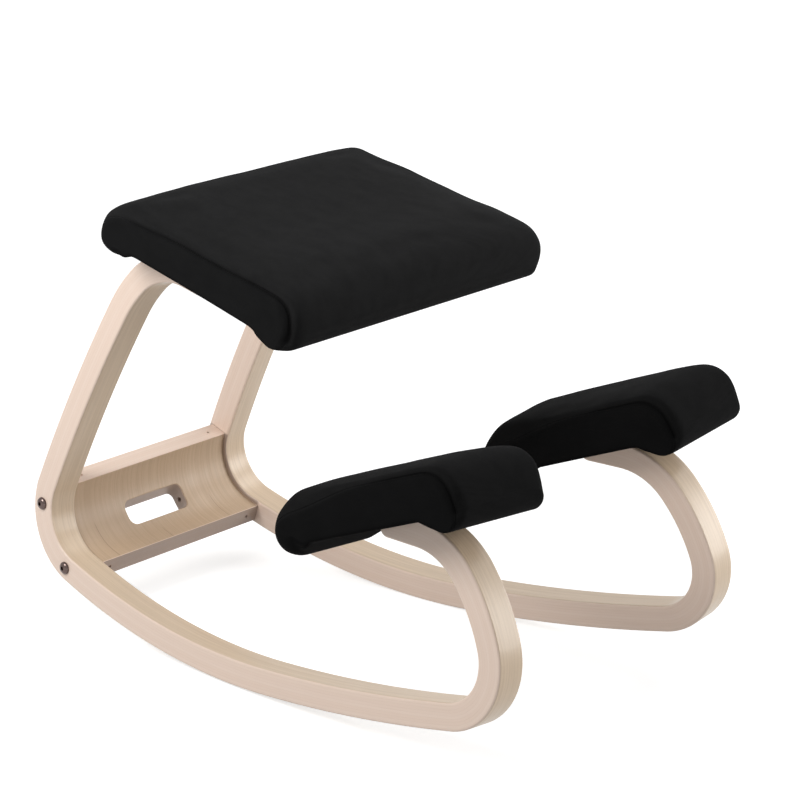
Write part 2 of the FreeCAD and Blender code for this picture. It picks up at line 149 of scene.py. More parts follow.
class RunnerLine:
    """The runner's outer line by distance from the seat arm's free end."""

    def __init__(self):
        self.trace(Vector((0, 0, 0)))
        spots = [self.at(self.length * k / LINE_STEPS)[0] for k in range(LINE_STEPS + 1)]
        middle = (min(p.x for p in spots) + max(p.x for p in spots)) / 2
        self.trace(Vector((-middle, -min(p.y for p in spots), 0)))

    def trace(self, point):
        """Lays the stretches out from a start point."""
        self.stretches = []
        heading = 180.0 - SEAT_ARM_SLOPE
        start = 0.0
        for radius, amount in runner_stretches():
            length = amount if radius is None else radius * math.radians(amount)
            self.stretches.append(Stretch(start, length, radius, point, heading))
            point, heading = walk(radius, point, heading, length)
            start += length
        self.length = start

    def at(self, distance):
        """Point and heading at a distance along the line."""
        for held in reversed(self.stretches):
            if distance >= held.start:
                break
        return walk(held.radius, held.point, held.heading, distance - held.start)

    def stations(self):
        """Distances of the band's sections, close together on tight bends and at both ends."""
        found = set()
        for held in self.stretches:
            step = TIGHT_STEP if held.radius and held.radius <= TIGHT_BEND else STATION_STEP
            count = math.ceil(held.length / step)
            found.update(held.start + held.length * k / count for k in range(count))
        found = {d for d in found if END_REACH < d < self.length - END_REACH}
        found.update(END_STATIONS)
        found.update(self.length - d for d in END_STATIONS)
        return sorted(found)


line = RunnerLine()


def side_matrix():
    """The right runner's own plane: X forward, Y up, Z inwards from the outer face."""
    splay = math.radians(RUNNER_SPLAY)
    lean = math.radians(-RUNNER_LEAN)
    forward = Vector((math.sin(splay), -math.cos(splay), 0))
    up = Vector((math.sin(lean) * math.cos(splay), math.sin(lean) * math.sin(splay), math.cos(lean)))
    inward = forward.cross(up)
    matrix = Matrix((forward, up, inward)).transposed().to_4x4()
    matrix.translation = Vector((RUNNER_SPREAD / 2, 0, 0))
    return matrix


side = side_matrix()


def outer_point(distance, depth):
    return side @ (line.at(distance)[0] + Vector((0, 0, depth)))


def frame_of(origin, forward, up):
    matrix = Matrix((forward, up, forward.cross(up))).transposed().to_4x4()
    matrix.translation = origin
    return matrix


def settle():
    """Moves the runner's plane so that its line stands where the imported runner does."""
    low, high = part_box("runner_right")
    distances = [line.length * k / SETTLE_STEPS for k in range(SETTLE_STEPS + 1)]
    places = [outer_point(distance, depth) for distance in distances for depth in (0, BAND_WIDTH)]
    shift_y = (low.y + high.y) / 2 - (min(p.y for p in places) + max(p.y for p in places)) / 2
    shift_z = low.z - min(p.z for p in places)
    side.translation += Vector((0, shift_y, shift_z))


settle()

# The heel bend, and the panel in it: its angles round the bend and its middle radius
heel = line.stretches[HEEL + 1]
heel_centre = heel.point + turned(heel.heading + 90) * heel.radius
PANEL_CENTRE = side @ (heel_centre + Vector((0, 0, BAND_WIDTH)))
PANEL_MIDDLE = heel.radius - PANEL_INSET - PANEL_THICKNESS / 2
PANEL_HEAD = heel.heading - 90
BEND_END = heel.heading + RUNNER_BENDS[HEEL][1] - 90
PANEL_FOOT = BEND_END + math.degrees(PANEL_FOOT_RUN / PANEL_MIDDLE)


def seat_matrix():
    slope = math.radians(SEAT_ARM_SLOPE)
    forward = Vector((0, -math.cos(slope), -math.sin(slope)))
    up = Vector((0, -math.sin(slope), math.cos(slope)))
    end = outer_point(0, BAND_WIDTH)
    return frame_of(Vector((0, end.y, end.z)), forward, up)


def knee_matrix(outward):
    """The right knee pad's landing, with its middle moved outwards from the band's middle."""
    point, heading = line.at(line.length)
    tip = point + turned(heading + 90) * BAND_THICKNESS + Vector((0, KNEE_TIP_THICKNESS, 0))
    turn = side.to_3x3()
    origin = side @ (tip + Vector((0, 0, BAND_WIDTH / 2 - outward)))
    return frame_of(origin, turn @ turned(KNEE_LANDING_SLOPE), turn @ turned(KNEE_LANDING_SLOPE + 90))


# Meshes

SHARP_ANGLE = 38
JOIN_DISTANCE = 2e-6


def link_object(name, mesh):
    piece = bpy.data.objects.new(name, mesh)
    bpy.context.scene.collection.objects.link(piece)
    return piece


def shade_smooth(mesh, sharp_angle=None):
    mesh.polygons.foreach_set("use_smooth", [True] * len(mesh.polygons))
    if sharp_angle:
        mesh.set_sharp_from_angle(angle=math.radians(sharp_angle))


def join_and_face_out(mesh, distance):
    """Joins vertices that lie together, and turns every face outwards."""
    work = bmesh.new()
    work.from_mesh(mesh)
    bmesh.ops.remove_doubles(work, verts=work.verts, dist=distance)
    bmesh.ops.recalc_face_normals(work, faces=work.faces)
    work.to_mesh(mesh)
    work.free()


def new_object(name, vertices, faces, material=None, sharp_angle=SHARP_ANGLE):
    mesh = bpy.data.meshes.new(name)
    mesh.from_pydata([tuple(v) for v in vertices], [], faces)
    mesh.validate()
    join_and_face_out(mesh, JOIN_DISTANCE)
    shade_smooth(mesh, sharp_angle)
    if material:
        mesh.materials.append(material)
    return link_object(name, mesh)


def ring_faces(rings, count, closed=False):
    """Faces between neighbouring rings of as many vertices each."""
    faces = []
    for n in range(rings if closed else rings - 1):
        next_ring = (n + 1) % rings
        for k in range(count):
            after = (k + 1) % count
            faces.append((n * count + k, n * count + after, next_ring * count + after, next_ring * count + k))
    return faces


def set_material(piece, material):
    piece.data.materials.clear()
    piece.data.materials.append(material)


def subdivide(piece):
    smooth = piece.modifiers.new("smooth", "SUBSURF")
    smooth.levels = 1
    smooth.render_levels = 1


def coordinates(piece):
    places = np.zeros(len(piece.data.vertices) * 3)
    piece.data.vertices.foreach_get("co", places)
    return places.reshape(-1, 3)


def set_attribute(piece, name, *columns):
    """Stores two or three numbers a vertex, for the material to read."""
    values = np.zeros((len(piece.data.vertices), 3), dtype=np.float32)
    for n, column in enumerate(columns):
        values[:, n] = np.ravel(column)
    held = piece.data.attributes.new(name, "FLOAT_VECTOR", "POINT")
    held.data.foreach_set("vector", values.ravel())


def mirror_copy(piece, name):
    """The left-hand twin of a right-hand piece."""
    mesh = piece.data.copy()
    mesh.name = name
    work = bmesh.new()
    work.from_mesh(mesh)
    bmesh.ops.scale(work, vec=(-1, 1, 1), verts=work.verts)
    bmesh.ops.reverse_faces(work, faces=work.faces)
    work.to_mesh(mesh)
    work.free()
    return link_object(name, mesh)


def keep_flats_flat(piece):
    weighted = piece.modifiers.new("flats", "WEIGHTED_NORMAL")
    weighted.keep_sharp = True
    weighted.weight = 60


def lathe(profile, steps, matrix):
    """Closed turned form of (radius, height) points, about the Z axis of a matrix, to cut with."""
    vertices = []
    faces = []
    rings = []
    for radius, height in profile:
        if radius == 0:
            rings.append([len(vertices)] * steps)
            vertices.append(matrix @ Vector((0, 0, height)))
            continue
        rings.append(list(range(len(vertices), len(vertices) + steps)))
        for k in range(steps):
            angle = 2 * math.pi * k / steps
            spot = Vector((radius * math.cos(angle), radius * math.sin(angle), height))
            vertices.append(matrix @ spot)
    for low, high in zip(rings, rings[1:]):
        for k in range(steps):
            ring = [low[k], low[(k + 1) % steps], high[(k + 1) % steps], high[k]]
            face = [v for n, v in enumerate(ring) if v not in ring[:n]]
            if len(face) > 2:
                faces.append(face)
    return new_object("cutter", vertices, faces)


def axis_matrix(origin, direction):
    turn = Vector((0, 0, 1)).rotation_difference(direction).to_matrix().to_4x4()
    turn.translation = origin
    return turn


def cut(piece, cutters):
    """Cuts closed forms out of a piece and deletes them."""
    for cutter in cutters:
        modifier = piece.modifiers.new("cut", "BOOLEAN")
        modifier.operation = "DIFFERENCE"
        modifier.solver = "EXACT"
        modifier.object = cutter
    bpy.context.view_layer.update()
    evaluated = piece.evaluated_get(bpy.context.evaluated_depsgraph_get())
    mesh = bpy.data.meshes.new_from_object(evaluated)
    piece.modifiers.clear()
    piece.data = mesh
    for cutter in cutters:
        bpy.data.objects.remove(cutter)
    shade_smooth(mesh, SHARP_ANGLE)


# Node materials


class Nodes:
    """A node tree, with short calls to add nodes to it."""

    def __init__(self, tree):
        self.tree = tree

    def put(self, socket, value):
        if isinstance(value, bpy.types.NodeSocket):
            self.tree.links.new(value, socket)
        else:
            socket.default_value = value

    def node(self, kind, inputs=(), output=0, **settings):
        made = self.tree.nodes.new(kind)
        for name, value in settings.items():
            setattr(made, name, value)
        for key, value in dict(inputs).items():
            self.put(made.inputs[key], value)
        return made.outputs[output]

    def math(self, operation, *values):
        return self.node("ShaderNodeMath", dict(enumerate(values)), operation=operation)

    def times(self, *values):
        return self.math("MULTIPLY", *values)

    def add(self, *values):
        return self.math("ADD", *values)

    def attribute(self, name):
        """A stored attribute, and its three numbers."""
        found = self.node("ShaderNodeAttribute", output="Vector", attribute_name=name)
        split = self.tree.nodes.new("ShaderNodeSeparateXYZ")
        self.put(split.inputs[0], found)
        return found, list(split.outputs)

    def scaled(self, vector, scale):
        return self.node("ShaderNodeVectorMath", {0: vector, 1: scale}, operation="MULTIPLY")

    def noise(self, vector, scale, detail=3.0, roughness=0.5):
        return self.node("ShaderNodeTexNoise",
                         {"Vector": vector, "Scale": scale, "Detail": detail, "Roughness": roughness})

    def ramp(self, value, low, high, start=0.0, end=1.0, smooth=True):
        return self.node("ShaderNodeMapRange", {0: value, 1: low, 2: high, 3: start, 4: end},
                         interpolation_type="SMOOTHSTEP" if smooth else "LINEAR")

    def mix(self, share, first, second, blend="MIX"):
        made = self.tree.nodes.new("ShaderNodeMix")
        made.data_type = "RGBA"
        made.blend_type = blend
        self.put(made.inputs[0], share)
        self.put(made.inputs[6], first)
        self.put(made.inputs[7], second)
        return made.outputs[2]

    def toned(self, colour, red, green, blue):
        """A colour times three levels."""
        return self.mix(1.0, colour, (red, green, blue, 1.0), "MULTIPLY")

    def seen(self):
        """One for the camera, in mirrors and through glass, and nothing for the light on the object."""
        path = self.tree.nodes.new("ShaderNodeLightPath")
        share = self.math("MAXIMUM", path.outputs["Is Camera Ray"], path.outputs["Is Glossy Ray"])
        return self.math("MAXIMUM", share, path.outputs["Is Transmission Ray"])


class Shader(Nodes):
    """A node material with its main shader."""

    def __init__(self, name):
        self.material = bpy.data.materials.new(name)
        self.material.use_nodes = True
        self.material.diffuse_color = (0.5, 0.5, 0.5, 1)
        super().__init__(self.material.node_tree)
        self.main = self.tree.nodes["Principled BSDF"]

    def bump(self, height, strength, distance):
        return self.node("ShaderNodeBump", {"Height": height, "Strength": strength, "Distance": distance})

    def main_inputs(self, **values):
        for name, value in values.items():
            self.put(self.main.inputs[name.replace("_", " ")], value)


def linear(red, green, blue):
    """Linear colour of a written sRGB colour."""
    found = []
    for level in (red, green, blue):
        share = level / 255
        found.append(share / 12.92 if share <= 0.04045 else ((share + 0.055) / 1.055) ** 2.4)
    return (*found, 1.0)


PLY_PITCH = 0.0033
JOINT_WANDER = 0.0012
THREAD_PITCH = 0.0011
STITCH_PITCH = 0.0042


def wood_material(name, face, gloss_range, coat, joints=()):
    """Clear-lacquered laminate. The grain attribute holds distance along, place across and ply depth."""
    s = Shader(name)
    grain, (along, across, depth) = s.attribute("grain")
    # The cut_side attribute holds the cut side's share and the painted shade.
    edge_share, painted_wood_shade = s.attribute("cut_side")[1][:2]

    # Veneer face: long streaks, fine fibres and short pores
    streaks = s.noise(s.scaled(grain, (7.0, 420.0, 60.0)), 1.0, 4.0, 0.6)
    broad = s.noise(s.scaled(grain, (2.6, 40.0, 20.0)), 1.0, 2.0)
    fibres = s.noise(s.scaled(grain, (28.0, 1500.0, 1500.0)), 1.0, 2.0, 0.7)
    pores = s.noise(s.scaled(grain, (160.0, 1900.0, 1900.0)), 1.0, 1.0)
    dark, light = s.toned(face, 0.90, 0.88, 0.85), s.toned(face, 1.05, 1.05, 1.05)
    colour = s.mix(s.ramp(streaks, 0.30, 0.72), dark, light)
    colour = s.mix(s.ramp(broad, 0.35, 0.75, 0.0, 0.30), colour, s.toned(face, 0.95, 0.92, 0.88))
    colour = s.mix(s.ramp(fibres, 0.60, 0.78, 0.0, 0.22), colour, s.toned(face, 0.62, 0.55, 0.47))
    colour = s.mix(s.ramp(pores, 0.66, 0.74, 0.0, 0.30), colour, s.toned(face, 0.55, 0.46, 0.38))

    # Veneer joints: a few thin dark lines along the grain, each for part of the way
    for place, start, end in joints:
        bend = s.noise(s.scaled(grain, (14.0, 0.0, 0.0)), 1.0, 1.0)
        wander = s.ramp(bend, 0.0, 1.0, -JOINT_WANDER, JOINT_WANDER)
        off = s.math("ABSOLUTE", s.math("SUBTRACT", s.add(across, wander), place))
        shown = s.times(s.ramp(along, start, start + 0.012), s.ramp(along, end, end - 0.012))
        share = s.times(s.ramp(off, 0.0006, 0.0001, 0.0, 0.62), shown)
        colour = s.mix(share, colour, s.toned(face, 0.34, 0.27, 0.21))

    # Cut side: the plies' edges, each of its own tone, between thin glue lines
    ply = s.math("DIVIDE", depth, PLY_PITCH)
    tone = s.node("ShaderNodeTexWhiteNoise", {1: s.math("FLOOR", ply)}, noise_dimensions="1D")
    across_ply = s.math("ABSOLUTE", s.math("SUBTRACT", s.math("FRACT", ply), 0.5))
    side_fibres = s.noise(s.scaled(grain, (16.0, 700.0, 900.0)), 1.0, 3.0, 0.6)
    cut_colour = s.mix(s.ramp(tone, 0.0, 1.0, 0.0, 0.45), PLY_EDGE, s.toned(PLY_EDGE, 0.95, 0.92, 0.89))
    fibre_tone = s.toned(PLY_EDGE, 0.86, 0.80, 0.74)
    cut_colour = s.mix(s.ramp(side_fibres, 0.45, 0.8, 0.0, 0.30), cut_colour, fibre_tone)
    cut_colour = s.mix(s.ramp(across_ply, 0.455, 0.49, 0.0, 0.30), cut_colour, GLUE_LINE)
    colour = s.mix(s.ramp(edge_share, 0.35, 0.65), colour, cut_colour)
    # Painted shade: darkens the strip beside the panel, the panel's foot edge and its slot walls
    colour = s.mix(s.times(s.ramp(painted_wood_shade, 0.3, 0.9), 0.62), colour, PAINTED_SHADE_WOOD)

    gloss = s.ramp(s.noise(s.scaled(grain, (9.0, 260.0, 120.0)), 1.0, 3.0), 0.2, 0.8, *gloss_range)
    heights = s.add(s.times(fibres, 0.6), s.times(streaks, 0.8))
    s.main_inputs(Base_Color=colour, Roughness=gloss, IOR=1.5, Coat_Weight=coat, Coat_Roughness=0.30,
                  Normal=s.bump(heights, 0.22, 0.00012))
    return s.material


def cloth_material(name, base, lift, painted_seam_shade, shine):
    """Fine woven upholstery cloth. The weave attribute holds length, girth and distance from the seam."""
    s = Shader(name)
    weave, (along, girth, seam) = s.attribute("weave")
    painted_cloth_shade, sewn = s.attribute("painted_cloth_shade")[1][:2]
    thread = 2 * math.pi / THREAD_PITCH
    shift = s.times(s.noise(s.scaled(weave, (300.0, 300.0, 0.0)), 1.0, 2.0), 1.6)
    warp = s.math("SINE", s.add(s.times(along, thread), shift))
    weft = s.math("SINE", s.add(s.times(girth, thread), shift))
    plain = s.ramp(s.times(warp, weft), -1.0, 1.0, 0.0, 1.0, False)
    fuzz = s.noise(s.scaled(weave, (2600.0, 2600.0, 0.0)), 1.0, 3.0, 0.7)
    mottle = s.noise(s.scaled(weave, (38.0, 55.0, 0.0)), 1.0, 4.0, 0.6)
    colour = s.mix(s.ramp(plain, 0.1, 0.9, 0.0, 0.55), base, lift)
    colour = s.mix(s.ramp(fuzz, 0.5, 0.85, 0.0, 0.45), colour, lift)
    colour = s.mix(s.ramp(mottle, 0.35, 0.7, 0.0, 0.30), colour, s.toned(base, 0.6, 0.6, 0.62))
    # Painted shade: the side panels darker, and the underside darker still
    colour = s.mix(s.times(painted_cloth_shade, 0.50), colour, s.toned(base, 0.30, 0.30, 0.31))

    # The seam: a valley with painted shade along it, and its stitches as small puckers
    stitch = s.ramp(s.math("SINE", s.times(along, 2 * math.pi / STITCH_PITCH)), -0.2, 0.4)
    near = s.times(s.ramp(seam, 0.0046, 0.0003), sewn)
    colour = s.mix(s.times(near, 0.60), colour, painted_seam_shade)
    pucker = s.times(s.times(stitch, near), 0.6)
    threads = s.add(s.times(plain, 0.5), s.times(fuzz, 0.5))
    s.main_inputs(Base_Color=colour, Roughness=0.92, Specular_IOR_Level=shine, Sheen_Weight=0.012,
                  Sheen_Roughness=0.45, Sheen_Tint=(0.55, 0.55, 0.58, 1.0),
                  Normal=s.bump(s.add(threads, pucker), 0.45, 0.00035))
    return s.material


def solid_material(name, colour, metallic, roughness, scale, wear):
    """Metal or board, with fine scratches or grain from the object's own coordinates."""
    s = Shader(name)
    place = s.node("ShaderNodeTexCoord", output="Object")
    fine = s.noise(place, scale, 4.0, 0.65)
    streak = s.noise(s.scaled(place, (scale * 0.2, scale * 0.2, scale * 2.5)), 1.0, 2.0)
    worn = s.toned(colour, 1 - wear, 1 - wear, 1 - wear)
    s.main_inputs(Base_Color=s.mix(s.ramp(fine, 0.3, 0.75), colour, worn), Metallic=metallic,
                  Roughness=s.ramp(streak, 0.2, 0.8, roughness * 0.8, roughness * 1.25),
                  Normal=s.bump(fine, 0.15, 0.00008))
    return s.material


VENEER = linear(214, 192, 166)
PLY_EDGE = linear(236, 214, 198)
# The panel's veneer: the runners' veneer toned darker, as painted shade for the panel sitting between the
# runners
PANEL_VENEER_AND_PAINTED_SHADE = linear(191, 166, 139)
GLUE_LINE = linear(196, 170, 148)
# Painted shade colour, for the strip beside the panel and the panel's foot edge and slot walls
PAINTED_SHADE_WOOD = linear(96, 74, 62)

# The panel's veneer joints as (place across, start, end) along the panel from its head
PANEL_JOINTS = [(-0.098, 0.060, 0.150), (-0.012, 0.100, 0.150), (0.083, 0.075, 0.135), (0.128, 0.03, 0.09)]
runner_wood = wood_material("runner_laminate", VENEER, (0.30, 0.42), 0.18)
panel_wood = wood_material("panel_laminate", PANEL_VENEER_AND_PAINTED_SHADE, (0.42, 0.56), 0.05, PANEL_JOINTS)
cover_cloth = cloth_material("black_cloth", (0.0108, 0.0108, 0.0109, 1), (0.0240, 0.0240, 0.0244, 1),
                             (0.0016, 0.0016, 0.0016, 1), 0.04)
pad_cloth = cloth_material("black_pad_cloth", (0.0066, 0.0066, 0.0066, 1), (0.0145, 0.0145, 0.0148, 1),
                           (0.0008, 0.0008, 0.0008, 1), 0.03)
dark_nickel = solid_material("dark_nickel", linear(104, 90, 86), 1.0, 0.15, 900.0, 0.2)
zinc = solid_material("zinc_plate", linear(188, 190, 194), 1.0, 0.34, 700.0, 0.2)
board_wood = solid_material("moulded_board", linear(196, 164, 124), 0.0, 0.6, 160.0, 0.3)


# Runners

SEAT_LANDING_END = 0.3
KNEE_LANDING_REACH = 0.09
THINNEST = 0.0005
END_ROUND = 0.0012
TAPER_RATE = 1.8


def top_of_band(distance, depth, seat, knee):
    """Band thickness left under the planed landings, from the inner line, at a depth in the band."""
    point, heading = line.at(distance)
    inner = side @ (point + turned(heading + 90) * BAND_THICKNESS + Vector((0, 0, depth)))
    outward = side.to_3x3() @ turned(heading - 90)
    thickness = BAND_THICKNESS
    near_knee = distance > line.length - KNEE_LANDING_REACH
    for matrix, near in ((seat, distance < SEAT_LANDING_END), (knee, near_knee)):
        if near:
            up = matrix.to_3x3().col[1]
            rate = outward.dot(up)
            if rate > 0.3:
                thickness = min(thickness, -(inner - matrix.translation).dot(up) / rate)
    return max(thickness, THINNEST)


def eased(distance, radius):
    """How far a quarter-round corner draws in at a distance from its end."""
    short = radius - min(distance, radius)
    return radius - math.sqrt(radius * radius - short * short)


def section_points(width, low, top_at, inset, radius):
    """Places (depth, height) round a band section with rounded corners."""
    high_mid = top_at(width / 2) - inset
    radius = min(radius, (high_mid - low) * 0.48)
    left = inset
    right = width - inset
    corners = [
        (right - radius, False, -90),
        (right - radius, True, 0),
        (left + radius, True, 90),
        (left + radius, False, 180),
    ]
    arcs = []
    for centre, is_high, first in corners:
        for step in range(5):
            angle = math.radians(first + 22.5 * step)
            depth = centre + radius * math.cos(angle)
            rise = radius * math.sin(angle)
            if is_high:
                arcs.append((depth, top_at(depth) - inset - radius + rise))
            else:
                arcs.append((depth, low + radius + rise))
    points = []
    for n, spot in enumerate(arcs):
        points.append(spot)
        after = arcs[(n + 1) % len(arcs)]
        if n % 5 == 4:
            for share in (0.25, 0.5, 0.75):
                points.append(tuple(a + (b - a) * share for a, b in zip(spot, after)))
    return points


def grain_of_runner(places):
    """Distance along, depth across and ply depth of world places, from the nearest station."""
    stations = [line.at(line.length * k / GRAIN_STEPS) for k in range(GRAIN_STEPS + 1)]
    spots = np.array([(p.x, p.y) for p, heading in stations])
    lefts = np.array([(turned(h + 90).x, turned(h + 90).y) for p, h in stations])
    local = places @ np.array(side.inverted().to_3x3()).T + np.array(side.inverted().translation)
    rows = []
    for spot in local:
        gaps = ((spots - spot[:2]) ** 2).sum(1)
        away = ((spot[:2] - spots) * lefts).sum(1)
        gaps[(away < -0.001) | (away > BAND_THICKNESS + 0.001)] += 1
        nearest = int(gaps.argmin())
        rows.append((line.length * nearest / GRAIN_STEPS, spot[2], away[nearest]))
    return np.array(rows).T


def dress_runner(piece):
    """Stores the grain, the cut sides and painted shade on the strip beside the panel, for the wood to read.
    """
    along, across, depth = grain_of_runner(coordinates(piece))
    set_attribute(piece, "grain", along, across, depth)
    cut_side = np.clip((BAND_EDGE - np.minimum(across, BAND_WIDTH - across)) / BAND_EDGE * 1.1, 0, 1)
    foot = heel.start + heel.length + PANEL_FOOT_RUN
    # Painted shade on the narrow strip of the inner side just above the panel
    painted_strip_shade = step_up(along, heel.start - 0.004, heel.start + 0.002) * step_up(-along, -(foot + 0.002), -foot)
    set_attribute(piece, "cut_side", cut_side, painted_strip_shade * (across > BAND_WIDTH - 0.0015))


def make_runner(seat, knee, cutters):
    vertices = []
    distances = line.stations()
    for distance in distances:
        end = min(distance, line.length - distance)
        point, heading = line.at(distance)
        left = turned(heading + 90)
        inset = eased(end, END_ROUND)
        arm_left = clamp((1 - distance / SEAT_ARM_LENGTH) * TAPER_RATE)
        low = max(eased(end, TIP_CORNER), inset, SEAT_ARM_TAPER * arm_left)
        points = section_points(
            BAND_WIDTH, low, lambda depth: top_of_band(distance, depth, seat, knee), inset, BAND_EDGE)
        for depth, height in points:
            vertices.append(side @ (point + left * (BAND_THICKNESS - height) + Vector((0, 0, depth))))
    count = len(points)
    faces = ring_faces(len(distances), count)
    faces.append(tuple(range(count)))
    faces.append(tuple(range(len(vertices) - 1, len(vertices) - count - 1, -1)))
    piece = new_object("runner_right_wood", vertices, faces, runner_wood)
    cut(piece, cutters)
    set_material(piece, runner_wood)
    dress_runner(piece)
    return piece


# Cushions

SEAM_ANGLE = 52
SEAM_DEPTH = 0.0016
ROLL_ANGLES = (12, 24, 36, 44, 49, SEAM_ANGLE, 55, 60, 68, 78, 90)
SIDE_ROWS = 10
UNDER_EDGE = 0.25
FRONT_FULLNESS = 0.78
REAR_FULLNESS = 1.12
LIP_STEPS = 12
SHOULDER_STEPS = 24
MIDDLE_SHARE = 0.40
LEAST_ROLL = 1e-6


def step_up(value, low, high):
    """Grows smoothly from 0 to 1 between two values."""
    share = np.clip((value - low) / (high - low), 0, 1)
    return share * share * (3 - 2 * share)


# A rolled end: how far it reaches past the flat part, how far it droops, and its lip's radius
Roll = namedtuple("Roll", "reach droop lip")


@dataclass
class Cushion:
    """A moulded pad on a flat landing, rolled down at its front and rear. Its side panels are sewn in."""

    width: float
    widening: float
    thickness: float
    crown: float
    edge_roll: float
    flat_length: float
    flat_front: float
    front: Roll
    rear: Roll

    # The side panels: how far they are set back at the front, at their top and foot, and hang at both ends
    set_back: float
    foot_set_back: float
    front_hang: float
    rear_hang: float

    # The ends: corner radii in plan, how far the rear edges roll over, and how much fuller the front is
    rear_round: float
    front_round: float
    rear_roll: float
    front_fill: float
    side_fill: float

    # The seam: where it starts along the pad, and how deep its valley is
    seam_from: tuple
    valley: float

    def __post_init__(self):
        self.half_width = self.width / 2
        self.flat_half = self.half_width - self.edge_roll
        self.flat_back = self.flat_front - self.flat_length

    def past_front(self, x, start, end):
        """Grows from 0 to 1 between two distances ahead of the flat part."""
        return step_up(x, self.flat_front + start, self.flat_front + end)

    def past_back(self, x, start, end):
        """Grows from 0 to 1 between two distances behind the flat part."""
        return step_up(-x, start - self.flat_back, end - self.flat_back)

    def end(self, roll, base, side_sign, inset, under, top):
        """Lower and upper lines of a rolled end, both running from the flat part out to the tip."""
        tip = base + side_sign * (roll.reach - inset)
        lip = max(roll.lip - inset, 0.002)
        centre = Vector((tip - side_sign * lip, under - roll.droop + lip, 0))
        span = Vector((base, under, 0)) - centre
        first = math.atan2(span.y, span.x) + side_sign * math.acos(clamp(lip / span.length))
        if first * side_sign > 0:
            first -= side_sign * 2 * math.pi
        last = 0.0 if side_sign > 0 else math.pi
        lower = [(base, under)]
        for k in range(LIP_STEPS + 1):
            angle = first + (last - first) * k / LIP_STEPS
            lower.append((centre.x + lip * math.cos(angle), centre.y + lip * math.sin(angle)))
        shoulder = top - centre.y
        high_centre = tip - side_sign * shoulder
        fullness = FRONT_FULLNESS if side_sign > 0 else REAR_FULLNESS
        upper = []
        for k in range(SHOULDER_STEPS + 1):
            angle = math.pi / 2 * (1 - k / SHOULDER_STEPS)
            upper.append((high_centre + side_sign * shoulder * max(math.cos(angle), 0) ** fullness,
                          centre.y + shoulder * math.sin(angle) ** fullness))
        return lower, upper

    def lines(self, inset, under, crown, count):
        """Upper and lower side lines from rear tip to front tip, as evenly numbered points."""
        top = self.thickness - inset + crown
        front_low, front_high = self.end(self.front, self.flat_front, 1, inset, under, top)
        rear_low, rear_high = self.end(self.rear, self.flat_back, -1, inset, under, top)
        return spread(rear_high[::-1] + front_high, count), spread(rear_low[::-1] + front_low, count)


def spread(points, count):
    """Resamples a polyline to evenly numbered points, closer together near both ends."""
    spots = np.array(points)
    steps = np.hypot(*np.diff(spots, axis=0).T)
    reach = np.concatenate([[0], np.cumsum(steps)])
    even = np.linspace(0, 1, count + 1)
    share = 0.45 * even + 0.55 * (1 - np.cos(np.pi * even)) / 2
    wanted = share * reach[-1]
    return np.stack([np.interp(wanted, reach, spots[:, 0]), np.interp(wanted, reach, spots[:, 1])], 1)


# A row along the pad: its place across, its inset, its share down the side, and whether it is the seam
Row = namedtuple("Row", "place inset down is_seam")


def cushion_rows(cushion, across):
    """Rows round the pad from the middle of its top, over both sides and underneath."""
    roll = cushion.edge_roll
    top = [(cushion.flat_half * k / across, 0.0, False) for k in range(across + 1)]
    for angle in ROLL_ANGLES:
        is_seam = angle == SEAM_ANGLE
        held = roll - (SEAM_DEPTH if is_seam else 0)
        turn = math.radians(angle)
        top.append((cushion.flat_half + held * math.sin(turn), roll - held * math.cos(turn), is_seam))
    right = [Row(place, inset, 0.0, is_seam) for place, inset, is_seam in top]
    right += [Row(cushion.half_width, roll, k / SIDE_ROWS, False) for k in range(1, SIDE_ROWS)]
    right += [Row(place, inset, 1.0, is_seam) for place, inset, is_seam in reversed(top)]
    return right + [row._replace(place=-row.place) for row in right[-2:0:-1]]


def draw_in(cushion, spots, place):
    """Sets the side panels back at the front, and lets them hang lower at both ends."""
    share = clamp((abs(place) - cushion.flat_half) / cushion.edge_roll)
    front = cushion.past_front(spots[:, 0], -0.020, 0.012)
    rear = cushion.past_back(spots[:, 0], -0.010, 0.016)
    low = step_up(-spots[:, 1], -0.018, 0.004)
    moved = spots.copy()
    moved[:, 0] -= share * front * (cushion.set_back + (cushion.foot_set_back - cushion.set_back) * low)
    moved[:, 1] -= share * low * (front * cushion.front_hang + rear * cushion.rear_hang)
    return moved


def corner_draw(gap, radius):
    """How far a round corner of a radius draws in at a gap from its end."""
    short = radius - np.minimum(np.maximum(gap, 0), radius)
    return radius - np.sqrt(np.maximum(radius * radius - short * short, 0))


